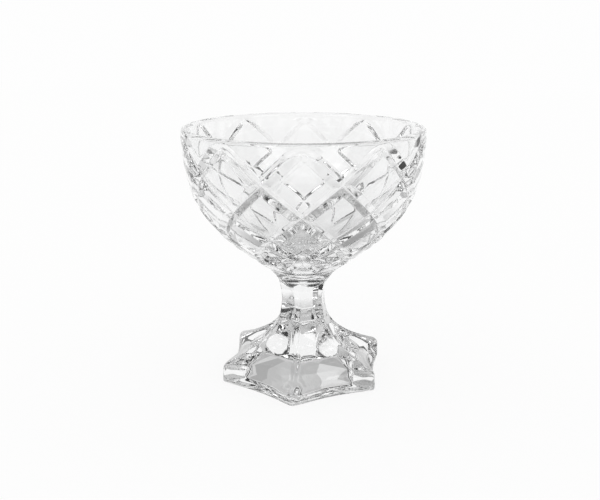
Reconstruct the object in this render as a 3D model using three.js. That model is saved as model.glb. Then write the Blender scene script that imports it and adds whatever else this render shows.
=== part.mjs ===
// Stemmed dessert glass in clear pressed glass: a diamond-cut bowl, the collar that joins it to a
// six-sided stem, and a hollow foot with six toes.
// Millimetres, +Z up, origin at the bottom centre of the foot, one toe pointing along -Y.
import * as THREE from 'three';

// Heights of the four pieces, which stand on one another from the table up
const FOOT_HEIGHT = 26;
const STEM_HEIGHT = 17;
const COLLAR_HEIGHT = 5.25;
const BOWL_HEIGHT = 59.75;

// Bowl
const RIM_RADIUS = 50;
const RIM_WALL = 3.2;
const SEAT_RADIUS = 15.5;
const FLOOR_THICKNESS = 6.75;

// How full the bowl's curves are: the reach of each curve handle as a share of the height or radius it spans
const OUTSIDE_DROP = 0.54;
const OUTSIDE_CONE = new THREE.Vector2(0.68, 0.29);
const INSIDE_DROP = 0.58;
const INSIDE_FLOOR = 0.42;

// Diamond cut on the bowl: grooves that run down the wall, as many to the left as to the right, and rise
// to the surface over a run-out at the rim and at the seat
const GROOVES_EACH_WAY = 10;
const DIAMOND_ROWS = 5;
const TOP_ROW_STEP = 14.7;
const PLAIN_BAND = 3.4;
const GROOVE_WIDTH = 5.8;
const GROOVE_DEPTH = 1.8;
const RIM_RUNOUT = 2.6;
const SEAT_RUNOUT = 6;
const CUT_TURN = THREE.MathUtils.degToRad(6);

// Stem, measured over its corners
const SIDES = 6;
const STEM_BASE_RADIUS = 11.3;
const STEM_TAPER = 0.1;
const STEM_TOP_RADIUS = STEM_BASE_RADIUS - STEM_TAPER;
const STEM_WAIST_RADIUS = 9.95;
const STEM_WAIST_SHARE = 0.6;

// Collar, whose round base runs out over the flat sides of the stem in scallops
const COLLAR_FLARE = new THREE.Vector2(0.3, 0.45);
const SCALLOP_HEIGHT = 1.7;

// Foot: an upright toe at each corner, with a leaning side drawn in between two toes
const TOE_RADIUS = 37.3;
const SIDE_BOW = 1.2;
const TOE = { lean: 0, wallHeight: 5.5, knuckle: 3.6, slope: THREE.MathUtils.degToRad(16) };
const SIDE = {
  lean: THREE.MathUtils.degToRad(22),
  wallHeight: 6.5,
  knuckle: 5,
  slope: THREE.MathUtils.degToRad(20),
};
const BOTTOM_EDGE = 0.6;

// Flare of the foot up into the stem: its lean at the stem and the reach of its curve handles
const WAIST_LEAN = THREE.MathUtils.degToRad(15);
const FLARE_AT_TOE = 0.52;
const FLARE_AT_STEM = 0.56;

// Six-sided hollow under the foot and the rim that it stands on, measured in the middle of a side
const STANDING_RIM = 9.1;
const HOLLOW_ROOF_RADIUS = 15.5;
const HOLLOW_DEPTH = 9;

// Softening of the corners of the stem and the foot, as an angle either side of a ridge
const CORNER_SOFTNESS = THREE.MathUtils.degToRad(2);

// Fineness of the mesh
const WALL_STEPS = 14;
const NECK_STEPS = 7;
const STEM_STEPS = 12;
const ARC_STEPS = 4;
const FLAT_STEPS_PER_DIAMOND = 4;
const COLUMNS_PER_SIDE = 12;
const CORNER_CROWDING = 1.6;
const ROUND_COLUMNS = 60;

const SECTOR = (2 * Math.PI) / SIDES;
const FLAT_SIDE = Math.cos(SECTOR / 2);
const FRONT = -Math.PI / 2;

/** Gathers the points and triangles of one closed solid, with its faces pointing out. */
class Skin {
  positions = [];
  triangles = [];

  addPoint(radius, angle, z) {
    this.positions.push(radius * Math.cos(angle), radius * Math.sin(angle), z);
    return this.positions.length / 3 - 1;
  }

  /** A ring of points, counter-clockwise from above. A spot is a radius and a height. */
  addRing(angles, spotAt) {
    return angles.map((angle) => {
      const spot = spotAt(angle);
      return this.addPoint(spot.x, angle, spot.y);
    });
  }

  addTriangle(a, b, c) {
    this.triangles.push(a, b, c);
  }

  /** Joins each ring to the next. The walk from ring to ring keeps the solid on its right. */
  joinRings(rings) {
    for (let level = 0; level < rings.length - 1; level += 1) {
      const ring = rings[level];
      const next = rings[level + 1];
      ring.forEach((point, i) => {
        const beside = (i + 1) % ring.length;
        this.addTriangle(point, next[i], next[beside]);
        this.addTriangle(point, next[beside], ring[beside]);
      });
    }
  }

  /** Closes the start of the walk with a point on the axis. */
  closeStart(ring, z) {
    const centre = this.addPoint(0, 0, z);
    ring.forEach((point, i) => this.addTriangle(centre, point, ring[(i + 1) % ring.length]));
  }

  /** Closes the end of the walk with a point on the axis. */
  closeEnd(ring, z) {
    const centre = this.addPoint(0, 0, z);
    ring.forEach((point, i) => this.addTriangle(point, centre, ring[(i + 1) % ring.length]));
  }

  toGeometry() {
    const geometry = new THREE.BufferGeometry();
    geometry.setAttribute('position', new THREE.Float32BufferAttribute(this.positions, 3));
    geometry.setIndex(this.triangles);
    geometry.computeVertexNormals();
    return geometry;
  }
}

/** Strings lists of outline points together, without repeating the point where two lists meet. */
function joinOutlines(...outlines) {
  return outlines.flatMap((points, i) => (i === 0 ? points : points.slice(1)));
}

/** A round outline piece about a centre in the plane of radius and height. */
function arcPoints(centreRadius, centreZ, radius, startAngle, endAngle) {
  const clockwise = endAngle < startAngle;
  const arc = new THREE.EllipseCurve(centreRadius, centreZ, radius, radius, startAngle, endAngle, clockwise);
  return arc.getPoints(ARC_STEPS);
}

// Bowl

const lipHeight = BOWL_HEIGHT - RIM_WALL / 2;
const insideRadius = RIM_RADIUS - RIM_WALL;

/** The bowl's outside from the lip down to its seat on the collar, as radius and height. */
const outsideWall = new THREE.CubicBezierCurve(
  new THREE.Vector2(RIM_RADIUS, lipHeight),
  new THREE.Vector2(RIM_RADIUS, lipHeight * (1 - OUTSIDE_DROP)),
  new THREE.Vector2(SEAT_RADIUS + (RIM_RADIUS - SEAT_RADIUS) * OUTSIDE_CONE.x, lipHeight * OUTSIDE_CONE.y),
  new THREE.Vector2(SEAT_RADIUS, 0),
);

/** The bowl's inside from the middle of its floor up to the lip. */
const insideWall = new THREE.CubicBezierCurve(
  new THREE.Vector2(0, FLOOR_THICKNESS),
  new THREE.Vector2(insideRadius * INSIDE_FLOOR, FLOOR_THICKNESS),
  new THREE.Vector2(insideRadius, lipHeight - (lipHeight - FLOOR_THICKNESS) * INSIDE_DROP),
  new THREE.Vector2(insideRadius, lipHeight),
);

const wallLength = outsideWall.getLength();
const cutLength = wallLength - PLAIN_BAND;
const rowStep = (cutLength - TOP_ROW_STEP) / (DIAMOND_ROWS - 1);
const halfCell = Math.PI / GROOVES_EACH_WAY;

/** Half a groove's width as a share of the spacing between grooves, measured square to them at the rim. */
function grooveShare() {
  const across = RIM_RADIUS * halfCell;
  const spacing = (2 * across * TOP_ROW_STEP) / Math.hypot(across, TOP_ROW_STEP);
  return GROOVE_WIDTH / 2 / spacing;
}

const grooveHalf = grooveShare();

/** Grid lines over one diamond: the groove line, the groove's edge, then the flat up to the next edge. */
const cellLines = [0];
for (let step = 0; step <= FLAT_STEPS_PER_DIAMOND; step += 1) {
  cellLines.push(grooveHalf + ((1 - 2 * grooveHalf) * step) / FLAT_STEPS_PER_DIAMOND);
}

/** Place of a numbered grid line. Whole numbers are the grooves. */
function gridLine(index) {
  const cell = Math.floor(index / cellLines.length);
  return cell + cellLines[index - cell * cellLines.length];
}

/** Depth of a groove beside its line: full on the line, none at its edge. */
function grooveShape(place) {
  return Math.max(0, 1 - Math.abs(place - Math.round(place)) / grooveHalf);
}

/** Adds the point of the cut wall where a right-hand and a left-hand grid line cross. */
function addCutPoint(skin, rightward, leftward) {
  const row = THREE.MathUtils.clamp(rightward + leftward, 0, DIAMOND_ROWS);
  const along = Math.min(row, 1) * TOP_ROW_STEP + Math.max(row - 1, 0) * rowStep;
  const spot = outsideWall.getPointAt(along / wallLength);
  const downhill = outsideWall.getTangentAt(along / wallLength);
  const runout = Math.min(1, along / RIM_RUNOUT, (cutLength - along) / SEAT_RUNOUT);
  const girth = Math.sqrt(spot.x / RIM_RADIUS);
  const depth = GROOVE_DEPTH * runout * girth * Math.max(grooveShape(rightward), grooveShape(leftward));
  const angle = FRONT + (rightward - leftward) * halfCell;
  return skin.addPoint(spot.x + depth * downhill.y, angle, spot.y - depth * downhill.x);
}

/** Covers the outside with the diamond grid. Returns its first and last ring of points. */
function addDiamondCut(skin) {
  const perCell = cellLines.length;
  const across = GROOVES_EACH_WAY * perCell;
  const levels = DIAMOND_ROWS * perCell;
  const rings = [];
  for (let level = 0; level <= levels; level += 1) {
    const ring = [];
    for (let i = 0; i < across; i += 1) {
      ring.push(addCutPoint(skin, gridLine(i), gridLine(level - i)));
    }
    rings.push(ring);
  }
  const pointAt = (level, i) => rings[level][i % across];
  const isCrossing = (level, i) => i % perCell === 0 && (level - i) % perCell === 0;

  for (let level = -1; level < levels; level += 1) {
    for (let i = 0; i < across; i += 1) {
      const left = pointAt(level + 1, i);
      const right = pointAt(level + 1, i + 1);
      if (level === -1) {
        skin.addTriangle(left, pointAt(1, i + 1), right);
      } else if (level === levels - 1) {
        skin.addTriangle(pointAt(level, i), left, right);
      } else {
        const top = pointAt(level, i);
        const bottom = pointAt(level + 2, i + 1);
        if (isCrossing(level, i) || isCrossing(level + 2, i + 1)) {
          skin.addTriangle(top, left, bottom);
          skin.addTriangle(top, bottom, right);
        } else {
          skin.addTriangle(top, left, right);
          skin.addTriangle(left, bottom, right);
        }
      }
    }
  }
  return { first: rings[0], last: rings[levels] };
}

function makeBowl() {
  const skin = new Skin();
  const columns = Array.from({ length: GROOVES_EACH_WAY * cellLines.length }, (_, i) => gridLine(i));
  const rimAngles = columns.map((place) => FRONT + 2 * place * halfCell);
  const seatAngles = rimAngles.map((angle) => angle - DIAMOND_ROWS * halfCell);
  const lip = arcPoints(RIM_RADIUS - RIM_WALL / 2, lipHeight, RIM_WALL / 2, Math.PI, 0);
  const inside = joinOutlines(insideWall.getPoints(WALL_STEPS), lip).slice(1, -1);

  const insideRings = inside.map((spot) => skin.addRing(rimAngles, () => spot));
  const cut = addDiamondCut(skin);
  const seat = skin.addRing(seatAngles, () => new THREE.Vector2(SEAT_RADIUS, 0));
  skin.closeStart(insideRings[0], FLOOR_THICKNESS);
  skin.joinRings([...insideRings, cut.first]);
  skin.joinRings([cut.last, seat]);
  skin.closeEnd(seat, 0);
  return skin.toGeometry();
}

// Collar

function makeCollar() {
  const bend = new THREE.Vector2(
    STEM_TOP_RADIUS + (SEAT_RADIUS - STEM_TOP_RADIUS) * COLLAR_FLARE.x,
    COLLAR_HEIGHT * COLLAR_FLARE.y,
  );
  const flare = new THREE.QuadraticBezierCurve(
    new THREE.Vector2(SEAT_RADIUS, COLLAR_HEIGHT),
    bend,
    new THREE.Vector2(STEM_TOP_RADIUS, 0),
  );
  const angles = Array.from({ length: ROUND_COLUMNS }, (_, i) => (2 * Math.PI * i) / ROUND_COLUMNS);

  const skin = new Skin();
  const rings = flare.getPoints(NECK_STEPS).map((spot) => skin.addRing(angles, () => spot));
  skin.closeStart(rings[0], COLLAR_HEIGHT);
  skin.joinRings(rings);
  skin.closeEnd(rings.at(-1), 0);
  return skin.toGeometry();
}

// Stem and foot

/** Angles of the columns round the stem and the foot, closer together near the corners. */
const sideAngles = Array.from({ length: SIDES * COLUMNS_PER_SIDE }, (_, i) => {
  const side = Math.round(i / COLUMNS_PER_SIDE);
  const offset = (2 * i) / COLUMNS_PER_SIDE - 2 * side;
  return FRONT + SECTOR * (side + (Math.sign(offset) * Math.abs(offset) ** CORNER_CROWDING) / 2);
});

/** How far the outline stands out at an angle: one on a corner, nothing half-way between two corners. */
function standOut(angle) {
  const turns = (angle - FRONT) / SECTOR;
  const fromCorner = (turns - Math.round(turns)) * SECTOR;
  const rise = (offset) => 1 / Math.cos(SECTOR / 2 - Math.hypot(offset, CORNER_SOFTNESS)) - 1;
  return rise(fromCorner) / rise(0);
}

/** A six-sided ring, given its spot on a corner and its spot in the middle of a side. */
function addSidedRing(skin, corner, side) {
  return skin.addRing(sideAngles, (angle) => side.clone().lerp(corner, standOut(angle)));
}

/** Unit step down and out along the leaning line where the foot runs up into the stem. */
const waistStep = new THREE.Vector2(Math.sin(WAIST_LEAN), -Math.cos(WAIST_LEAN));

function makeStem() {
  const handleRadius = (8 * STEM_WAIST_RADIUS - STEM_TOP_RADIUS - STEM_BASE_RADIUS) / 6;
  const handleHeight = (STEM_BASE_RADIUS - handleRadius) / Math.tan(WAIST_LEAN);
  const corners = new THREE.CubicBezierCurve(
    new THREE.Vector2(STEM_TOP_RADIUS, STEM_HEIGHT),
    new THREE.Vector2(handleRadius, STEM_HEIGHT * STEM_WAIST_SHARE),
    new THREE.Vector2(handleRadius, handleHeight),
    new THREE.Vector2(STEM_BASE_RADIUS, 0),
  );

  const skin = new Skin();
  const rings = Array.from({ length: STEM_STEPS + 1 }, (_, i) => {
    const corner = corners.getPoint((i / STEM_STEPS) ** 2);
    const runout = (STEM_HEIGHT - corner.y) / SCALLOP_HEIGHT;
    const scallop = STEM_TOP_RADIUS * THREE.MathUtils.lerp(1, FLAT_SIDE, runout);
    return skin.addRing(sideAngles, (angle) => {
      const flat = corner.x * THREE.MathUtils.lerp(FLAT_SIDE, 1, standOut(angle));
      return new THREE.Vector2(Math.max(flat, scallop), corner.y);
    });
  });
  skin.closeStart(rings[0], STEM_HEIGHT);
  skin.joinRings(rings);
  skin.closeEnd(rings.at(-1), 0);
  return skin.toGeometry();
}

/** The foot's outline from the stem down to the table, in the middle of a toe or of a side. */
function footOutline(topRadius, bottomRadius, { lean, wallHeight, knuckle, slope }) {
  const edge = arcPoints(bottomRadius - BOTTOM_EDGE, BOTTOM_EDGE, BOTTOM_EDGE, lean, -Math.PI / 2);
  const wallTop = edge[0].x - (wallHeight - edge[0].y) * Math.tan(lean);
  const centreRadius = wallTop - knuckle * Math.cos(lean);
  const centreHeight = wallHeight - knuckle * Math.sin(lean);
  const bend = arcPoints(centreRadius, centreHeight, knuckle, Math.PI / 2 - slope, lean);

  const top = new THREE.Vector2(topRadius, FOOT_HEIGHT);
  const uphill = new THREE.Vector2(-Math.cos(slope), Math.sin(slope));
  const flare = new THREE.CubicBezierCurve(
    top,
    top.clone().addScaledVector(waistStep, (top.y - bend[0].y) * FLARE_AT_STEM),
    bend[0].clone().addScaledVector(uphill, (bend[0].x - top.x) * FLARE_AT_TOE),
    bend[0],
  );
  return [...joinOutlines(flare.getPoints(WALL_STEPS), bend), ...edge];
}

function makeFoot() {
  const sideRadius = TOE_RADIUS * FLAT_SIDE - SIDE_BOW;
  const toe = footOutline(STEM_BASE_RADIUS, TOE_RADIUS, TOE);
  const side = footOutline(STEM_BASE_RADIUS * FLAT_SIDE, sideRadius, SIDE);
  const hollow = [
    new THREE.Vector2(sideRadius - STANDING_RIM, 0),
    new THREE.Vector2(HOLLOW_ROOF_RADIUS, HOLLOW_DEPTH),
  ];

  const skin = new Skin();
  const outside = toe.map((spot, i) => addSidedRing(skin, spot, side[i]));
  const inside = hollow.map((spot) => {
    const corner = new THREE.Vector2(spot.x / FLAT_SIDE, spot.y);
    return addSidedRing(skin, corner, spot);
  });
  skin.closeStart(outside[0], FOOT_HEIGHT);
  skin.joinRings([...outside, ...inside]);
  skin.closeEnd(inside.at(-1), HOLLOW_DEPTH);
  return skin.toGeometry();
}

// Assembly

function addPiece(group, name, geometry, z) {
  const glass = new THREE.MeshStandardMaterial({ color: 0xe6ebec, roughness: 0.04, metalness: 0 });
  const mesh = new THREE.Mesh(geometry, glass);
  mesh.name = name;
  mesh.position.z = z;
  group.add(mesh);
  return mesh;
}

const glass = new THREE.Group();
glass.name = 'stemmed_glass';
addPiece(glass, 'foot', makeFoot(), 0);
addPiece(glass, 'stem', makeStem(), FOOT_HEIGHT);
addPiece(glass, 'collar', makeCollar(), FOOT_HEIGHT + STEM_HEIGHT);
const bowl = addPiece(glass, 'bowl', makeBowl(), FOOT_HEIGHT + STEM_HEIGHT + COLLAR_HEIGHT);
bowl.rotation.z = CUT_TURN;

export default glass;
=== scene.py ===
# Stemmed dessert glass: clear pressed glass with a diamond cut, on a white studio table
import bisect
import math

import bpy
from bpy.props import FloatProperty, FloatVectorProperty, IntProperty, PointerProperty
from bpy.types import Operator, Panel, PropertyGroup
from mathutils import Euler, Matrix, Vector


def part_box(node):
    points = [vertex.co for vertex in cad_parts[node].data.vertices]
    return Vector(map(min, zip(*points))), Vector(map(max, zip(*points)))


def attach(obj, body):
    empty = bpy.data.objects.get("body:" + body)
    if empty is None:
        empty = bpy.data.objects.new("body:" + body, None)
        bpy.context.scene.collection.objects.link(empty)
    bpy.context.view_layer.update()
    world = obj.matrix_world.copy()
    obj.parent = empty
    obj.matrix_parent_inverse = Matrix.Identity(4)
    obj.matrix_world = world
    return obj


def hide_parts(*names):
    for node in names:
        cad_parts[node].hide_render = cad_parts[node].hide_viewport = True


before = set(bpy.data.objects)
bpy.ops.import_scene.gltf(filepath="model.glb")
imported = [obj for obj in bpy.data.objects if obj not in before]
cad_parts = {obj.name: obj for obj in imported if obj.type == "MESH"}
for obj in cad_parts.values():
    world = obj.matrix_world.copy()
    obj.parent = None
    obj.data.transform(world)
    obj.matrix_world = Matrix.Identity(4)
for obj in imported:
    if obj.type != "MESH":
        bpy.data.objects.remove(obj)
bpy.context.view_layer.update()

bl_info = {
    "name": "Stemmed Glass",
    "version": (1, 0, 0),
    "blender": (4, 5, 0),
    "location": "3D View > Sidebar > Stemmed Glass",
    "description": "Dresses a packed stemmed glass in clear pressed glass on a white studio table",
    "category": "Object",
}

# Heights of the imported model
FOOT_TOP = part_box("foot")[1].z
STEM_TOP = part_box("stem")[1].z
COLLAR_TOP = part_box("collar")[1].z
RIM_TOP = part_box("bowl")[1].z

# The stem and the foot have six sides, with a corner to the front
MM = 0.001
FRONT = -math.pi / 2
SIDES = 6
SECTOR = 2 * math.pi / SIDES
FLAT_SIDE = math.cos(SECTOR / 2)

# Fineness of the meshes
COLUMNS_PER_SIDE = 24
CORNER_CROWDING = 1.6
WALL_STEPS = 400
INSIDE_STEPS = 60
LIP_STEPS = 14
BAND_STEPS = 6
COLLAR_STEPS = 20
SCALLOP_STEPS = 16
SCALLOP_PART = 0.1
STEM_STEPS = 28
FLARE_STEPS = 44
KNUCKLE_STEPS = 12
FOOT_WALL_STEPS = 4
FOOT_EDGE_STEPS = 6
HOLLOW_WALL_STEPS = 10
HOLLOW_FILLET_STEPS = 8
HOLLOW_ROOF_STEPS = 4

# Lights that the glass shows: name, azimuth from the backdrop to the right, elevation, width and height
# in degrees, and brightness
PANELS = (
    ("Backdrop", 0, 17, 81, 54, 1.0),
    ("Left card", -69, 10, 26, 26, 0.75),
    ("Right soft box", 140, 32, 34, 26, 2.2),
    ("Left soft box", -140, 32, 34, 26, 2.2),
    ("Soft box over the camera", 180, 52, 60, 20, 1.3),
    ("Low card behind the camera", 180, 2, 30, 12, 0.9),
    ("Top light", 0, 90, 360, 18, 1.0),
)

# Light bends through many surfaces before it leaves the glass
BOUNCES = 32


# Settings


def length(name, description, millimetres):
    """A size that a user sees in the scene's own length unit."""
    default = millimetres * MM
    return FloatProperty(name=name, description=description, default=default, unit="LENGTH", precision=4)


def share(name, description, value):
    """A plain share between nothing and one."""
    return FloatProperty(name=name, description=description, default=value, min=0, max=1, subtype="FACTOR")


def angle(name, description, degrees):
    """An angle that a user sees in degrees."""
    default = math.radians(degrees)
    return FloatProperty(
        name=name, description=description, default=default, unit="ROTATION", subtype="ANGLE"
    )


def number(name, description, value):
    """A plain number above nothing."""
    return FloatProperty(name=name, description=description, default=value, min=0)


def count(name, description, value, least):
    """A whole number of things."""
    return IntProperty(name=name, description=description, default=value, min=least)


def colour(name, description, value):
    """A colour that a user picks."""
    return FloatVectorProperty(
        name=name, description=description, default=value, size=3, min=0, max=1, subtype="COLOR"
    )


class BowlSizes(PropertyGroup):
    """Sizes of the bowl and of the diamonds cut into it"""

    rim_radius: length("Rim radius", "Outside radius at the lip", 50)
    rim_wall: length("Rim wall", "Thickness of the wall at the lip", 3.2)
    seat_radius: length("Seat radius", "Radius of the bowl where it sits on the collar", 15.5)
    floor: length("Floor", "Thickness of glass under the middle of the bowl", 6.75)
    outside_drop: share("Outside drop", "How far the outside runs straight down from the lip", 0.54)
    outside_cone_out: share("Cone reach", "How far out the lower curve's handle lies", 0.68)
    outside_cone_up: share("Cone rise", "How far up the lower curve's handle lies", 0.29)
    inside_drop: share("Inside drop", "How far the inside runs straight down from the lip", 0.58)
    inside_floor: share("Inside floor", "How far the inside floor runs level from the middle", 0.42)
    grooves: count("Grooves", "Grooves that run each way round the bowl", 10, 3)
    rows: count("Rows", "Rows of groove crossings from rim to seat", 5, 2)
    top_row: length("Top row", "Length of wall from the lip to the first crossings", 14.7)
    plain_band: length("Plain band", "Uncut wall above the seat", 3.4)
    groove_width: length("Groove width", "Width of a groove at the rim", 5.8)
    groove_depth: length("Groove depth", "Depth of a groove at the rim", 1.8)
    rim_runout: length("Run-out at rim", "Length over which a groove fades under the lip", 2.6)
    seat_runout: length("Run-out at seat", "Length over which a groove fades above the seat", 6)
    valley_softness: share("Valley softness", "Rounding of the bottom of a groove", 0.025)
    shoulder_softness: share("Shoulder softness", "Rounding of the edges of a groove", 0.045)
    turn: angle("Turn", "Turn of the pattern against the toes of the foot", 6)


class NeckSizes(PropertyGroup):
    """Sizes of the collar and the stem"""

    collar_flare_out: share("Collar reach", "How far out the collar's curve handle lies", 0.3)
    collar_flare_up: share("Collar rise", "How far up the collar's curve handle lies", 0.45)
    stem_top: length("Stem top", "Radius over the stem's corners at its top", 11.2)
    stem_waist: length("Stem waist", "Radius over the stem's corners at its waist", 9.95)
    stem_base: length("Stem base", "Radius over the stem's corners at its base", 11.3)
    waist_share: share("Waist place", "Height of the waist in the stem", 0.6)
    scallop: length("Scallop", "Height of the curved run-out of the stem's sides under the collar", 1.7)
    scallop_softness: length("Scallop softness", "Rounding of the edge of a scallop", 0.08)


class FootSizes(PropertyGroup):
    """Sizes of the foot"""

    toe_radius: length("Toe radius", "Radius over the toes", 37.3)
    side_bow: length("Side bow", "How far a side is drawn in between two toes", 1.2)
    toe_wall: length("Toe wall", "Height of the upright end of a toe", 5.5)
    toe_knuckle: length("Toe knuckle", "Rounding over the top of a toe", 3.6)
    toe_slope: angle("Toe slope", "Slope of the ridge behind a toe", 16)
    side_lean: angle("Side lean", "Lean of a side wall", 22)
    side_wall: length("Side wall", "Height of a side wall", 6.5)
    side_knuckle: length("Side knuckle", "Rounding over the top of a side", 5)
    side_slope: angle("Side slope", "Slope of a panel behind its side wall", 20)
    bottom_edge: length("Bottom edge", "Rounding of the bottom edge", 0.6)
    seam_height: length("Seam height", "How far the mould seam stands out along a ridge", 0.6)
    seam_width: length("Seam width", "Half the width of the mould seam", 1.6)
    waist_lean: angle("Waist lean", "Lean of the foot where it runs into the stem", 15)
    flare_at_toe: share("Flare at toe", "Reach of the flare's lower handle", 0.52)
    flare_at_stem: share("Flare at stem", "Reach of the flare's upper handle", 0.56)
    standing_rim: length("Standing rim", "Width of the flat rim, in the middle of a side", 9.1)
    hollow_roof: length("Hollow roof", "Distance from the axis to a side of the hollow's roof", 15.5)
    hollow_depth: length("Hollow depth", "Depth of the hollow", 9)
    hollow_fillet: length("Hollow fillet", "Rounding where the hollow's wall meets its roof", 1.2)
    hollow_softness: angle("Hollow softness", "Softening either side of a corner of the hollow", 3)


class GlassLook(PropertyGroup):
    """Look of the pressed glass"""

    tint: colour("Tint", "Colour of the glass", (0.95, 0.952, 0.952))
    index: FloatProperty(name="Index", description="Index of refraction", default=1.51, min=1, max=2)
    wave_height: length("Wave height", "Depth of the slow waves left by the mould", 0.08)
    bowl_waves: number("Bowl waves", "Waves in a metre of the bowl", 45)
    collar_waves: number("Collar waves", "Waves in a metre of the collar", 260)
    stem_waves: number("Stem waves", "Waves in a metre of the stem", 200)
    foot_waves: number("Foot waves", "Waves in a metre of the foot", 120)
    corner_softness: angle("Corner softness", "Softening either side of a ridge of the stem or foot", 1.6)


class StageLook(PropertyGroup):
    """Table, camera and light"""

    table_colour: colour("Table", "Colour of the table", (0.9, 0.9, 0.895))
    table_roughness: share("Table roughness", "Roughness of the table's paint", 0.9)
    table_size: length("Table size", "Half the width of the table", 1500)
    table_gap: length("Table gap", "Air between the foot and the table", 0.1)
    lift: share("Lift", "Share of the table's white that takes no shadow", 0.88)
    # Painted shade on the table that the glass shows: a soft darker pool round the foot, placed off the
    # axis away from the light panels.
    shade_shift: length("Shade shift", "How far the shade lies from the axis, away from the light", 45)
    shade_turn: angle("Shade turn", "Turn of the shade from the camera to the right", 30)
    shade_core: length("Shade core", "Radius of the deepest shade", 40)
    shade_reach: length("Shade reach", "Radius of the whole shade", 140)
    shade: share("Shade", "Brightness of the table in the deepest shade", 0.38)
    # Painted patches of light under the foot, in place of the light that the foot's facets throw, with
    # painted shade between them.
    painted_shade_under_foot: share("Under foot", "Brightness under the foot, between the patches of light", 0.45)
    painted_thrown_light: share("Thrown light", "Brightness of the brightest patch of light under the foot", 0.78)
    patches: number("Patches", "Patches of thrown light in a metre of the table", 75)
    patch_core: length("Patch core", "Radius of the table that is full of patches", 22)
    patch_reach: length("Patch reach", "Radius at which the patches end", 32)
    room: share("Room", "Brightness of the dark room round the lights", 0.04)
    panel_softness: angle("Panel softness", "Soft edge of a light panel", 4)
    camera_azimuth: angle("Camera azimuth", "Turn of the camera round the glass, from the front toe", 7.1)
    camera_pitch: angle("Camera pitch", "How far the camera looks down", 16.478)
    camera_distance: length("Camera distance", "Distance from the glass's axis along the table", 316.94)
    camera_height: length("Camera height", "Height of the camera over the table", 148.58)
    camera_side: length("Camera side", "How far the camera stands left of the glass's axis", 1.424)
    focal_length: FloatProperty(
        name="Focal length",
        description="Focal length of the lens",
        default=46.23,
        subtype="DISTANCE_CAMERA",
    )


class GlassSettings(PropertyGroup):
    """All settings of the stemmed glass"""

    bowl: PointerProperty(type=BowlSizes)
    neck: PointerProperty(type=NeckSizes)
    foot: PointerProperty(type=FootSizes)
    look: PointerProperty(type=GlassLook)
    stage: PointerProperty(type=StageLook)


# Outlines and skins


def blend(a, b, t):
    """A value between two others."""
    return a + (b - a) * t


def ease(t):
    """Slow at both ends, so that grid lines crowd there."""
    return (1 - math.cos(math.pi * t)) / 2


def bezier(points, t):
    """A point on a Bezier curve of any number of handles."""
    points = list(points)
    while len(points) > 1:
        points = [a.lerp(b, t) for a, b in zip(points, points[1:])]
    return points[0]


def curve(points, steps):
    """A Bezier curve as a row of points."""
    return [bezier(points, i / steps) for i in range(steps + 1)]


def straight(start, end, steps):
    """A straight line as a row of points."""
    return [start.lerp(end, i / steps) for i in range(steps + 1)]


def arc(centre, radius, start, end, steps):
    """A round arc as a row of points."""
    angles = [blend(start, end, i / steps) for i in range(steps + 1)]
    return [centre + radius * Vector((math.cos(a), math.sin(a))) for a in angles]


def string(*outlines):
    """Strings outlines together without repeating the point where two of them meet."""
    joined = list(outlines[0])
    for outline in outlines[1:]:
        joined += outline[1:]
    return joined


class Skin:
    """Gathers the points and faces of one closed piece, with its faces pointing out."""

    def __init__(self):
        self.points = []
        self.faces = []
        self.fused = set()

    def add_point(self, radius, turn, z):
        """Adds a point and returns its place in the list."""
        self.points.append((radius * math.cos(turn), radius * math.sin(turn), z))
        return len(self.points) - 1

    def add_ring(self, turns, spot_at):
        """A ring of points, counter-clockwise from above. A spot is a radius and a height."""
        spots = [spot_at(turn) for turn in turns]
        return [self.add_point(spot.x, turn, spot.y) for turn, spot in zip(turns, spots)]

    def join(self, *rings):
        """Joins each ring to the next. The walk from ring to ring keeps the piece on its right."""
        for ring, following in zip(rings, rings[1:]):
            for i, point in enumerate(ring):
                beside = (i + 1) % len(ring)
                self.faces.append((point, following[i], following[beside], ring[beside]))

    def close_start(self, ring, z, fused=False):
        """Closes the piece before its first ring."""
        centre = self.add_point(0, 0, z)
        for i, point in enumerate(ring):
            self.add_cap_face((centre, point, ring[(i + 1) % len(ring)]), fused)

    def close_end(self, ring, z, fused=False):
        """Closes the piece behind its last ring."""
        centre = self.add_point(0, 0, z)
        for i, point in enumerate(ring):
            self.add_cap_face((point, centre, ring[(i + 1) % len(ring)]), fused)

    def add_cap_face(self, face, fused):
        """Adds a face of a cap and notes whether it melts into another piece."""
        if fused:
            self.fused.add(len(self.faces))
        self.faces.append(face)

    def make(self, name, node, glass, joint):
        """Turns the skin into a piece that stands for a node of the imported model."""
        mesh = bpy.data.meshes.new(name)
        mesh.from_pydata(self.points, [], self.faces)
        mesh.materials.append(glass)
        mesh.materials.append(joint)
        for polygon in mesh.polygons:
            is_fused = polygon.index in self.fused
            polygon.use_smooth = not is_fused
            polygon.material_index = 1 if is_fused else 0
        mesh.validate()
        piece = bpy.data.objects.new(name, mesh)
        bpy.context.scene.collection.objects.link(piece)
        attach(piece, "root")
        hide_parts(node)
        return piece


def side_turns():
    """Turns of the columns round the neck and the foot, closer together near the corners."""
    turns = []
    for i in range(SIDES * COLUMNS_PER_SIDE):
        side = round(i / COLUMNS_PER_SIDE)
        offset = 2 * i / COLUMNS_PER_SIDE - 2 * side
        crowded = math.copysign(abs(offset) ** CORNER_CROWDING, offset)
        turns.append(FRONT + SECTOR * (side + crowded / 2))
    return turns


def off_corner(turn):
    """Turn from the nearest corner of the stem and the foot."""
    sides = (turn - FRONT) / SECTOR
    return (sides - round(sides)) * SECTOR


def stand_out(turn, softness):
    """How far a six-sided outline stands out: one on a corner, nothing half-way between two corners."""
    rise = [1 / math.cos(SECTOR / 2 - math.hypot(x, softness)) - 1 for x in (off_corner(turn), 0)]
    return rise[0] / rise[1]


# Bowl


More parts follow.
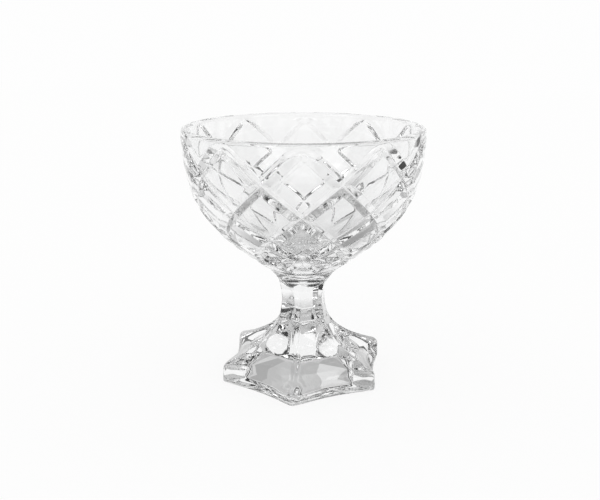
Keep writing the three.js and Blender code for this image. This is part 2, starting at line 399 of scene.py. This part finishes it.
class BowlWall:
    """The outside wall of the bowl by its length down from the lip."""

    def __init__(self, handles):
        self.spots = curve(handles, WALL_STEPS)
        self.lengths = [0.0]
        for a, b in zip(self.spots, self.spots[1:]):
            self.lengths.append(self.lengths[-1] + (b - a).length)
        self.length = self.lengths[-1]

    def at(self, along):
        """The spot at a length down the wall, and the unit step downhill there."""
        i = min(max(bisect.bisect(self.lengths, along) - 1, 0), len(self.spots) - 2)
        a, b = self.spots[i], self.spots[i + 1]
        t = (along - self.lengths[i]) / (self.lengths[i + 1] - self.lengths[i])
        return a.lerp(b, t), (b - a).normalized()


class DiamondCut:
    """The diamond grid over the outside of the bowl."""

    GROOVE_STEPS = 6
    FLAT_STEPS = 12

    def __init__(self, sizes, wall):
        self.sizes = sizes
        self.wall = wall
        self.cut_length = wall.length - sizes.plain_band
        self.row_step = (self.cut_length - sizes.top_row) / (sizes.rows - 1)
        self.half_cell = math.pi / sizes.grooves
        across = sizes.rim_radius * self.half_cell
        spacing = 2 * across * sizes.top_row / math.hypot(across, sizes.top_row)
        self.half = sizes.groove_width / 2 / spacing
        self.lines = self.cell_lines()

    def cell_lines(self):
        """Grid lines over one diamond, crowded at the groove lines and at the grooves' edges."""
        groove = [self.half * ease(i / self.GROOVE_STEPS) for i in range(self.GROOVE_STEPS)]
        flat = [ease(i / self.FLAT_STEPS) for i in range(self.FLAT_STEPS)]
        far = [1 - self.half + x for x in groove]
        return groove + [blend(self.half, 1 - self.half, t) for t in flat] + far

    def grid_line(self, index):
        """Place of a grid line, counted in diamonds."""
        cell, line = divmod(index, len(self.lines))
        return cell + self.lines[line]

    def groove(self, place):
        """Depth of a groove beside its line, with a soft valley and soft shoulders."""
        sizes = self.sizes
        reach = math.hypot((place - round(place)) / self.half, sizes.valley_softness)
        rise = 1 - reach
        return (rise + math.hypot(rise, sizes.shoulder_softness)) / 2

    def add_point(self, skin, rightward, leftward):
        """Adds the point where a rightward and a leftward grid line cross."""
        sizes = self.sizes
        row = min(max(rightward + leftward, 0), sizes.rows)
        along = min(row, 1) * sizes.top_row + max(row - 1, 0) * self.row_step
        spot, downhill = self.wall.at(along)
        runout = min(1, along / sizes.rim_runout, (self.cut_length - along) / sizes.seat_runout)
        girth = math.sqrt(spot.x / sizes.rim_radius)
        shape = max(self.groove(rightward), self.groove(leftward))
        depth = sizes.groove_depth * max(runout, 0) * girth * shape
        turn = FRONT + (rightward - leftward) * self.half_cell + sizes.turn
        spot = spot + depth * Vector((downhill.y, -downhill.x))
        return skin.add_point(spot.x, turn, COLLAR_TOP + spot.y)

    def cover(self, skin):
        """Covers the wall with the grid. Returns its first and last ring of points."""
        per_cell = len(self.lines)
        across = self.sizes.grooves * per_cell
        levels = self.sizes.rows * per_cell
        place = {i: self.grid_line(i) for i in range(-across, across + levels + 1)}
        rings = []
        for level in range(levels + 1):
            rings.append([self.add_point(skin, place[i], place[level - i]) for i in range(across)])

        for level in range(-1, levels):
            below = rings[level + 1]
            for i in range(across):
                beside = (i + 1) % across
                left, right = below[i], below[beside]
                if level == -1:
                    skin.faces.append((left, rings[1][beside], right))
                elif level == levels - 1:
                    skin.faces.append((rings[level][i], left, right))
                else:
                    square = (rings[level][i], left, rings[level + 2][beside], right)
                    self.add_square(skin, square, i % per_cell, (level - i) % per_cell)
        return rings[0], rings[-1]

    def add_square(self, skin, square, right_line, left_line):
        """Adds a square, split along the edge where two grooves cross."""
        top, left, bottom, right = square
        last = len(self.lines) - 1
        in_groove = min(right_line, last - right_line) < self.GROOVE_STEPS
        if in_groove and right_line == left_line:
            skin.faces += [(top, left, bottom), (top, bottom, right)]
        elif in_groove and right_line + left_line == last:
            skin.faces += [(top, left, right), (left, bottom, right)]
        else:
            skin.faces.append(square)


def make_bowl(settings, glass, joint):
    """The round bowl, cut outside and smooth inside."""
    sizes = settings.bowl
    lip = RIM_TOP - COLLAR_TOP - sizes.rim_wall / 2
    inside_radius = sizes.rim_radius - sizes.rim_wall
    cone = blend(sizes.seat_radius, sizes.rim_radius, sizes.outside_cone_out)
    wall = BowlWall(
        [
            Vector((sizes.rim_radius, lip)),
            Vector((sizes.rim_radius, lip * (1 - sizes.outside_drop))),
            Vector((cone, lip * sizes.outside_cone_up)),
            Vector((sizes.seat_radius, 0)),
        ]
    )
    inside = [
        Vector((0, sizes.floor)),
        Vector((inside_radius * sizes.inside_floor, sizes.floor)),
        Vector((inside_radius, blend(lip, sizes.floor, sizes.inside_drop))),
        Vector((inside_radius, lip)),
    ]
    lip_centre = Vector((sizes.rim_radius - sizes.rim_wall / 2, lip))
    lip_arc = arc(lip_centre, sizes.rim_wall / 2, math.pi, 0, LIP_STEPS)
    up = Vector((0, COLLAR_TOP))

    skin = Skin()
    cut = DiamondCut(sizes, wall)
    columns = [cut.grid_line(i) for i in range(sizes.grooves * len(cut.lines))]
    rim_turns = [FRONT + sizes.turn + 2 * place * cut.half_cell for place in columns]
    seat_turns = [turn - sizes.rows * cut.half_cell for turn in rim_turns]
    inside_spots = string(curve(inside, INSIDE_STEPS), lip_arc)[1:-1]
    inside_rings = [skin.add_ring(rim_turns, lambda turn: spot + up) for spot in inside_spots]
    first, last = cut.cover(skin)
    band = [blend(cut.cut_length, wall.length, i / BAND_STEPS) for i in range(1, BAND_STEPS + 1)]
    band_rings = [skin.add_ring(seat_turns, lambda turn: wall.at(along)[0] + up) for along in band]
    skin.close_start(inside_rings[0], COLLAR_TOP + sizes.floor)
    skin.join(*inside_rings, first)
    skin.join(last, *band_rings)
    skin.close_end(band_rings[-1], COLLAR_TOP, fused=True)
    return skin.make("cut_bowl", "bowl", glass, joint)


# Collar and stem


def make_collar(settings, glass, joint):
    """The round flare between the stem and the bowl."""
    neck = settings.neck
    seat_radius = settings.bowl.seat_radius
    bend_radius = blend(neck.stem_top, seat_radius, neck.collar_flare_out)
    bend = Vector((bend_radius, blend(STEM_TOP, COLLAR_TOP, neck.collar_flare_up)))
    seat = Vector((seat_radius, COLLAR_TOP))
    flare = curve([seat, bend, Vector((neck.stem_top, STEM_TOP))], COLLAR_STEPS)
    turns = side_turns()

    skin = Skin()
    rings = [skin.add_ring(turns, lambda turn: spot) for spot in flare]
    skin.close_start(rings[0], COLLAR_TOP, fused=True)
    skin.join(*rings)
    skin.close_end(rings[-1], STEM_TOP, fused=True)
    return skin.make("round_collar", "collar", glass, joint)


def make_stem(settings, glass, joint):
    """The waisted six-sided stem."""
    neck = settings.neck
    height = STEM_TOP - FOOT_TOP
    # Radius of the two inner handles that takes the middle of the curve through the waist
    handle = (8 * neck.stem_waist - neck.stem_top - neck.stem_base) / 6
    handle_height = (neck.stem_base - handle) / math.tan(settings.foot.waist_lean)
    corners = [
        Vector((neck.stem_top, STEM_TOP)),
        Vector((handle, FOOT_TOP + height * neck.waist_share)),
        Vector((handle, FOOT_TOP + handle_height)),
        Vector((neck.stem_base, FOOT_TOP)),
    ]
    turns = side_turns()
    stands = {turn: stand_out(turn, settings.look.corner_softness) for turn in turns}

    def outline(corner):
        """A six-sided ring that runs out into the round of the collar."""
        drop = (STEM_TOP - corner.y) / neck.scallop
        round_part = blend(neck.stem_top, neck.stem_top * FLAT_SIDE, drop)

        def spot_at(turn):
            flat = corner.x * blend(FLAT_SIDE, 1, stands[turn])
            radius = (flat + round_part + math.hypot(flat - round_part, neck.scallop_softness)) / 2
            return Vector((max(flat, min(radius, neck.stem_top)), corner.y))

        return spot_at

    scalloped = [bezier(corners, SCALLOP_PART * i / SCALLOP_STEPS) for i in range(SCALLOP_STEPS)]
    below = [bezier(corners, blend(SCALLOP_PART, 1, i / STEM_STEPS)) for i in range(STEM_STEPS + 1)]
    skin = Skin()
    rings = [skin.add_ring(turns, outline(spot)) for spot in scalloped + below]
    skin.close_start(rings[0], STEM_TOP, fused=True)
    skin.join(*rings)
    skin.close_end(rings[-1], FOOT_TOP, fused=True)
    return skin.make("six_sided_stem", "stem", glass, joint)


# Foot


def foot_outline(foot, top_radius, bottom_radius, lean, wall_height, knuckle, slope):
    """The foot's outline from the stem down to the table, in the middle of a toe or of a side."""
    edge_centre = Vector((bottom_radius - foot.bottom_edge, foot.bottom_edge))
    edge = arc(edge_centre, foot.bottom_edge, lean, -math.pi / 2, FOOT_EDGE_STEPS)
    wall_top = edge[0].x - (wall_height - edge[0].y) * math.tan(lean)
    centre = Vector((wall_top - knuckle * math.cos(lean), wall_height - knuckle * math.sin(lean)))
    bend = arc(centre, knuckle, math.pi / 2 - slope, lean, KNUCKLE_STEPS)
    wall = straight(bend[-1], edge[0], FOOT_WALL_STEPS)
    top = Vector((top_radius, FOOT_TOP))
    waist_step = Vector((math.sin(foot.waist_lean), -math.cos(foot.waist_lean)))
    uphill = Vector((-math.cos(slope), math.sin(slope)))
    flare = [
        top,
        top + waist_step * (top.y - bend[0].y) * foot.flare_at_stem,
        bend[0] + uphill * (bend[0].x - top.x) * foot.flare_at_toe,
        bend[0],
    ]
    return string(curve(flare, FLARE_STEPS), bend, wall, edge)


def hollow_outline(foot, side_radius):
    """The hollow's outline from its mouth to the middle of its roof, in the middle of a side."""
    mouth = Vector((side_radius - foot.standing_rim, 0))
    roof = Vector((foot.hollow_roof, foot.hollow_depth))
    lean = math.atan2(roof.y, mouth.x - roof.x)
    cut_back = foot.hollow_fillet * math.tan(lean / 2)
    fillet_start = roof + (mouth - roof).normalized() * cut_back
    fillet_centre = Vector((roof.x - cut_back, roof.y - foot.hollow_fillet))
    fillet_angles = (math.pi / 2 - lean, math.pi / 2)
    fillet = arc(fillet_centre, foot.hollow_fillet, *fillet_angles, HOLLOW_FILLET_STEPS)
    wall = straight(mouth, fillet_start, HOLLOW_WALL_STEPS)
    flat = straight(fillet[-1], Vector((0, foot.hollow_depth)), HOLLOW_ROOF_STEPS)
    return string(wall, fillet, flat[:-1])


def mould_seam(foot, ring, turn, radius):
    """How far the mould seam along a ridge of the flare stands out."""
    fade = math.sin(math.pi * min(ring / FLARE_STEPS, 1))
    aside = off_corner(turn) * radius / foot.seam_width
    return foot.seam_height * fade * max(0, 1 - aside**2) ** 2


def make_foot(settings, glass, joint):
    """The six-toed foot, hollow underneath."""
    foot = settings.foot
    stem_base = settings.neck.stem_base
    side_radius = foot.toe_radius * FLAT_SIDE - foot.side_bow
    toe_shape = (0, foot.toe_wall, foot.toe_knuckle, foot.toe_slope)
    side_shape = (foot.side_lean, foot.side_wall, foot.side_knuckle, foot.side_slope)
    toe = foot_outline(foot, stem_base, foot.toe_radius, *toe_shape)
    side = foot_outline(foot, stem_base * FLAT_SIDE, side_radius, *side_shape)
    turns = side_turns()
    outside_stands = {turn: stand_out(turn, settings.look.corner_softness) for turn in turns}
    inside_stands = {turn: stand_out(turn, foot.hollow_softness) for turn in turns}

    def outside_ring(ring):
        """A ring of the outside, between the outline of a toe and that of a side."""

        def spot_at(turn):
            spot = side[ring].lerp(toe[ring], outside_stands[turn])
            seam = mould_seam(foot, ring, turn, spot.x)
            return spot + Vector((seam, seam))

        return spot_at

    def inside_ring(side_spot):
        """A six-sided ring of the hollow."""
        corner = Vector((side_spot.x / FLAT_SIDE, side_spot.y))
        return lambda turn: side_spot.lerp(corner, inside_stands[turn])

    skin = Skin()
    outside = [skin.add_ring(turns, outside_ring(ring)) for ring in range(len(toe))]
    inside = [skin.add_ring(turns, inside_ring(spot)) for spot in hollow_outline(foot, side_radius)]
    skin.close_start(outside[0], FOOT_TOP, fused=True)
    skin.join(*outside, *inside)
    skin.close_end(inside[-1], foot.hollow_depth)
    return skin.make("toed_foot", "foot", glass, joint)


# Shader helpers


def new_group(name, inputs, outputs):
    """An empty shader node group with named sockets, and its two end nodes."""
    group = bpy.data.node_groups.new(name, "ShaderNodeTree")
    for socket_name, kind, value in inputs:
        socket = group.interface.new_socket(socket_name, in_out="INPUT", socket_type=kind)
        socket.default_value = value
    for socket_name, kind in outputs:
        group.interface.new_socket(socket_name, in_out="OUTPUT", socket_type=kind)
    return group, group.nodes.new("NodeGroupInput"), group.nodes.new("NodeGroupOutput")


def math_node(tree, operation, *values):
    """A sum worked out by the shader. Plain numbers and the outputs of other nodes can be mixed."""
    node = tree.nodes.new("ShaderNodeMath")
    node.operation = operation
    for socket, value in zip(node.inputs, values):
        if isinstance(value, (int, float)):
            socket.default_value = value
        else:
            tree.links.new(value, socket)
    return node.outputs["Value"]


def between(tree, share_of_b, a, b):
    """A brightness between two others. Plain numbers and the outputs of other nodes can be mixed."""
    return math_node(tree, "MULTIPLY_ADD", math_node(tree, "SUBTRACT", b, a), share_of_b, a)


def soft_step(tree, value, start, end):
    """Rises softly from nothing to one between two places."""
    node = tree.nodes.new("ShaderNodeMapRange")
    node.interpolation_type = "SMOOTHSTEP"
    node.inputs["From Min"].default_value = start
    node.inputs["From Max"].default_value = end
    tree.links.new(value, node.inputs["Value"])
    return node.outputs["Result"]


def distance_from(tree, place, centre):
    """Distance of a place from a fixed centre."""
    node = tree.nodes.new("ShaderNodeVectorMath")
    node.operation = "DISTANCE"
    node.inputs[1].default_value = centre
    tree.links.new(place, node.inputs[0])
    return node.outputs["Value"]


def seen_rays(tree):
    """One for rays straight from the camera, and one for rays that glass has mirrored or bent."""
    path = tree.nodes.new("ShaderNodeLightPath").outputs
    bent = math_node(tree, "MAXIMUM", path["Is Glossy Ray"], path["Is Transmission Ray"])
    return path["Is Camera Ray"], bent


# Glass


def pressed_surface():
    """Slow waves, faint handling marks and uneven tint of pressed glass."""
    name = "Pressed surface"
    if name in bpy.data.node_groups:
        return bpy.data.node_groups[name]
    group, given, result = new_group(
        name,
        [
            ("Waves per metre", "NodeSocketFloat", 60.0),
            ("Marks per metre", "NodeSocketFloat", 35.0),
            ("Polish", "NodeSocketFloat", 0.01),
            ("Clearing", "NodeSocketFloat", 0.3),
            ("Tint", "NodeSocketColor", (1, 1, 1, 1)),
        ],
        [("Height", "NodeSocketFloat"), ("Roughness", "NodeSocketFloat"), ("Color", "NodeSocketColor")],
    )
    given = given.outputs
    link = group.links.new
    place = group.nodes.new("ShaderNodeTexCoord").outputs["Object"]
    waves = group.nodes.new("ShaderNodeTexNoise")
    waves.inputs["Detail"].default_value = 1.0
    link(place, waves.inputs["Vector"])
    link(given["Waves per metre"], waves.inputs["Scale"])
    marks = group.nodes.new("ShaderNodeTexNoise")
    marks.inputs["Detail"].default_value = 3.0
    link(place, marks.inputs["Vector"])
    link(given["Marks per metre"], marks.inputs["Scale"])
    cleared = group.nodes.new("ShaderNodeMixRGB")
    cleared.inputs["Color2"].default_value = (1, 1, 1, 1)
    link(math_node(group, "MULTIPLY", waves.outputs["Fac"], given["Clearing"]), cleared.inputs["Fac"])
    link(given["Tint"], cleared.inputs["Color1"])
    link(waves.outputs["Fac"], result.inputs["Height"])
    link(math_node(group, "MULTIPLY", marks.outputs["Fac"], given["Polish"]), result.inputs["Roughness"])
    link(cleared.outputs["Color"], result.inputs["Color"])
    return group


def glass_material(name, look, waves_per_metre):
    """Clear pressed glass with its own waves."""
    material = bpy.data.materials.new(name)
    material.use_nodes = True
    nodes = material.node_tree.nodes
    link = material.node_tree.links.new
    shader = nodes["Principled BSDF"]
    shader.inputs["IOR"].default_value = look.index
    shader.inputs["Transmission Weight"].default_value = 1.0
    surface = nodes.new("ShaderNodeGroup")
    surface.node_tree = pressed_surface()
    surface.inputs["Waves per metre"].default_value = waves_per_metre
    surface.inputs["Tint"].default_value = (*look.tint, 1)
    bump = nodes.new("ShaderNodeBump")
    bump.inputs["Strength"].default_value = 1.0
    bump.inputs["Distance"].default_value = look.wave_height
    link(surface.outputs["Height"], bump.inputs["Height"])
    link(bump.outputs["Normal"], shader.inputs["Normal"])
    link(surface.outputs["Roughness"], shader.inputs["Roughness"])
    link(surface.outputs["Color"], shader.inputs["Base Color"])
    return material


def fused_joint():
    """The place where two pieces melted into one: light passes straight through."""
    name = "Fused joint"
    if name in bpy.data.materials:
        return bpy.data.materials[name]
    material = bpy.data.materials.new(name)
    material.use_nodes = True
    shader = material.node_tree.nodes["Principled BSDF"]
    shader.inputs["Alpha"].default_value = 0.0
    return material


# Stage


def painted_table_shade_and_light(stage, tree):
    """Brightness of the table in the glass: a painted soft shade, and painted patches of light standing in
    for light thrown under the foot.
    """
    link = tree.links.new
    place = tree.nodes.new("ShaderNodeTexCoord").outputs["Object"]
    # Painted patches of light under the foot from a cell pattern, with painted shade between them.
    painted_light_cells = tree.nodes.new("ShaderNodeTexVoronoi")
    painted_light_cells.inputs["Scale"].default_value = stage.patches
    link(place, painted_light_cells.inputs["Vector"])
    cell = tree.nodes.new("ShaderNodeSeparateColor")
    link(painted_light_cells.outputs["Color"], cell.inputs["Color"])
    under = between(tree, cell.outputs["Red"], stage.painted_shade_under_foot, stage.painted_thrown_light)

    # Painted shade: a soft darker pool round the foot, its centre moved toward the camera and to the
    # right.
    shade_centre = Vector((0, -stage.shade_shift, 0))
    shade_centre.rotate(Euler((0, 0, stage.camera_azimuth + stage.shade_turn)))
    off_shade = distance_from(tree, place, shade_centre)
    in_light = soft_step(tree, off_shade, stage.shade_core, stage.shade_reach)
    around = between(tree, in_light, stage.shade, 1.0)
    off_axis = distance_from(tree, place, Vector((0, 0, 0)))
    return between(tree, soft_step(tree, off_axis, stage.patch_core, stage.patch_reach), under, around)


def table_material(stage):
    """White paint that keeps a faint shadow. The glass shows a painted shade round the foot and painted
    patches of light under it.
    """
    material = bpy.data.materials.new("White table")
    material.use_nodes = True
    tree = material.node_tree
    nodes = tree.nodes
    link = tree.links.new
    paint = nodes["Principled BSDF"]
    paint.inputs["Base Color"].default_value = (*stage.table_colour, 1)
    paint.inputs["Roughness"].default_value = stage.table_roughness
    paint.inputs["Specular IOR Level"].default_value = 0.0
    from_camera, bent = seen_rays(tree)
    # Emission: even white to the camera; to mirrored and bent rays, the painted shade and painted patches
    # of light.
    lift = nodes.new("ShaderNodeEmission")
    link(between(tree, bent, 1.0, painted_table_shade_and_light(stage, tree)), lift.inputs["Strength"])
    lifted = math_node(tree, "MAXIMUM", math_node(tree, "MULTIPLY", from_camera, stage.lift), bent)
    which = nodes.new("ShaderNodeMixShader")
    link(lifted, which.inputs["Fac"])
    link(paint.outputs["BSDF"], which.inputs[1])
    link(lift.outputs["Emission"], which.inputs[2])
    link(which.outputs["Shader"], nodes["Material Output"].inputs["Surface"])
    return material


def make_table(stage):
    """A wide flat table just under the foot."""
    half = stage.table_size
    level = -stage.table_gap
    corners = [(-half, -half, level), (half, -half, level), (half, half, level), (-half, half, level)]
    mesh = bpy.data.meshes.new("studio_table")
    mesh.from_pydata(corners, [], [(0, 1, 2, 3)])
    mesh.materials.append(table_material(stage))
    table = bpy.data.objects.new("studio_table", mesh)
    bpy.context.scene.collection.objects.link(table)


def light_panel(softness):
    """A soft-edged panel in the room, given the direction of a ray and the panel's place."""
    name = "Light panel"
    if name in bpy.data.node_groups:
        return bpy.data.node_groups[name]
    sockets = ("Ray turn", "Ray rise", "Turn", "Rise", "Half width", "Half height", "Brightness")
    inputs = [(socket, "NodeSocketFloat", 0.0) for socket in sockets]
    group, given, result = new_group(name, inputs, [("Light", "NodeSocketFloat")])
    given = given.outputs

    def inside(half, off):
        """One well inside an edge of the panel, nothing well outside it."""
        margin = math_node(group, "SUBTRACT", half, math_node(group, "ABSOLUTE", off))
        return soft_step(group, margin, -softness / 2, softness / 2)

    aside = math_node(group, "SUBTRACT", given["Ray turn"], given["Turn"])
    shortest = math_node(group, "WRAP", aside, math.pi, -math.pi)
    above = math_node(group, "SUBTRACT", given["Ray rise"], given["Rise"])
    in_width = inside(given["Half width"], shortest)
    in_height = inside(given["Half height"], above)
    in_panel = math_node(group, "MULTIPLY", in_width, in_height)
    light = math_node(group, "MULTIPLY", in_panel, given["Brightness"])
    group.links.new(light, result.inputs["Light"])
    return group


def light_studio(stage):
    """White to the camera and to the table. The glass shows the panels in an otherwise dark room."""
    world = bpy.data.worlds.new("White studio")
    bpy.context.scene.world = world
    world.use_nodes = True
    tree = world.node_tree
    nodes = tree.nodes
    link = tree.links.new
    turned = nodes.new("ShaderNodeVectorRotate")
    turned.rotation_type = "Z_AXIS"
    turned.inputs["Angle"].default_value = -stage.camera_azimuth
    link(nodes.new("ShaderNodeTexCoord").outputs["Generated"], turned.inputs["Vector"])
    part = nodes.new("ShaderNodeSeparateXYZ")
    link(turned.outputs["Vector"], part.inputs["Vector"])
    ray_turn = math_node(tree, "ARCTAN2", part.outputs["X"], part.outputs["Y"])
    ray_rise = math_node(tree, "ARCSINE", part.outputs["Z"])

    room = stage.room
    for name, turn, rise, width, height, brightness in PANELS:
        panel = nodes.new("ShaderNodeGroup")
        panel.node_tree = light_panel(stage.panel_softness)
        panel.label = name
        link(ray_turn, panel.inputs["Ray turn"])
        link(ray_rise, panel.inputs["Ray rise"])
        panel.inputs["Turn"].default_value = math.radians(turn)
        panel.inputs["Rise"].default_value = math.radians(rise)
        panel.inputs["Half width"].default_value = math.radians(width / 2)
        panel.inputs["Half height"].default_value = math.radians(height / 2)
        panel.inputs["Brightness"].default_value = brightness
        room = math_node(tree, "MAXIMUM", room, panel.outputs["Light"])
    _, bent = seen_rays(tree)
    white = blend(stage.table_colour[0], 1, stage.lift)
    link(between(tree, bent, white, room), nodes["Background"].inputs["Strength"])
    nodes["Background"].inputs["Color"].default_value = (1, 1, 1, 1)


def set_camera(stage):
    """The photograph's view."""
    lens = bpy.data.cameras.new("camera")
    lens.sensor_fit = "HORIZONTAL"
    lens.sensor_width = 36
    lens.lens = stage.focal_length
    lens.clip_start = 0.01
    lens.clip_end = 20
    camera = bpy.data.objects.new("camera", lens)
    bpy.context.scene.collection.objects.link(camera)
    place = Vector((-stage.camera_side, -stage.camera_distance, stage.camera_height))
    place.rotate(Euler((0, 0, stage.camera_azimuth)))
    camera.location = place
    camera.rotation_euler = (math.pi / 2 - stage.camera_pitch, 0, stage.camera_azimuth)
    bpy.context.scene.camera = camera


def set_view():
    """Plain colours, and enough bounces for light to get through the glass."""
    scene = bpy.context.scene
    scene.view_settings.view_transform = "Standard"
    scene.cycles.max_bounces = BOUNCES
    scene.cycles.transmission_bounces = BOUNCES
    scene.cycles.glossy_bounces = BOUNCES
    scene.cycles.transparent_max_bounces = BOUNCES


# Operators


class STEMMED_GLASS_OT_bowl(Operator):
    """Makes the diamond-cut bowl"""

    bl_idname = "stemmed_glass.bowl"
    bl_label = "Bowl"

    def execute(self, context):
        settings = context.scene.stemmed_glass
        look = settings.look
        make_bowl(settings, glass_material("Bowl glass", look, look.bowl_waves), fused_joint())
        return {"FINISHED"}


class STEMMED_GLASS_OT_neck(Operator):
    """Makes the collar and the stem"""

    bl_idname = "stemmed_glass.neck"
    bl_label = "Collar and Stem"

    def execute(self, context):
        settings = context.scene.stemmed_glass
        look = settings.look
        make_collar(settings, glass_material("Collar glass", look, look.collar_waves), fused_joint())
        make_stem(settings, glass_material("Stem glass", look, look.stem_waves), fused_joint())
        return {"FINISHED"}


class STEMMED_GLASS_OT_foot(Operator):
    """Makes the six-toed foot"""

    bl_idname = "stemmed_glass.foot"
    bl_label = "Foot"

    def execute(self, context):
        settings = context.scene.stemmed_glass
        look = settings.look
        make_foot(settings, glass_material("Foot glass", look, look.foot_waves), fused_joint())
        return {"FINISHED"}


class STEMMED_GLASS_OT_stage(Operator):
    """Sets the table, the camera and the light"""

    bl_idname = "stemmed_glass.stage"
    bl_label = "Stage"

    def execute(self, context):
        stage = context.scene.stemmed_glass.stage
        make_table(stage)
        light_studio(stage)
        set_camera(stage)
        set_view()
        return {"FINISHED"}


class STEMMED_GLASS_PT_sidebar(Panel):
    """Lists the pieces of the glass and its stage"""

    bl_idname = "STEMMED_GLASS_PT_sidebar"
    bl_label = "Stemmed Glass"
    bl_space_type = "VIEW_3D"
    bl_region_type = "UI"
    bl_category = "Stemmed Glass"

    def draw(self, context):
        for operator in OPERATORS:
            self.layout.operator(operator.bl_idname)
        settings = context.scene.stemmed_glass
        for part in (settings.bowl, settings.neck, settings.foot, settings.look, settings.stage):
            column = self.layout.column()
            for name in part.__annotations__:
                column.prop(part, name)


OPERATORS = (
    STEMMED_GLASS_OT_bowl,
    STEMMED_GLASS_OT_neck,
    STEMMED_GLASS_OT_foot,
    STEMMED_GLASS_OT_stage,
)
GROUPS = (BowlSizes, NeckSizes, FootSizes, GlassLook, StageLook, GlassSettings)
CLASSES = (*GROUPS, *OPERATORS, STEMMED_GLASS_PT_sidebar)


def register():
    """Adds the settings, the operators and the panel to Blender."""
    for cls in CLASSES:
        bpy.utils.register_class(cls)
    bpy.types.Scene.stemmed_glass = PointerProperty(type=GlassSettings)


def unregister():
    """Takes them away again."""
    del bpy.types.Scene.stemmed_glass
    for cls in reversed(CLASSES):
        bpy.utils.unregister_class(cls)


def main():
    """Makes the glass and its stage."""
    register()
    bpy.ops.stemmed_glass.bowl()
    bpy.ops.stemmed_glass.neck()
    bpy.ops.stemmed_glass.foot()
    bpy.ops.stemmed_glass.stage()


if __name__ == "__main__":
    main()
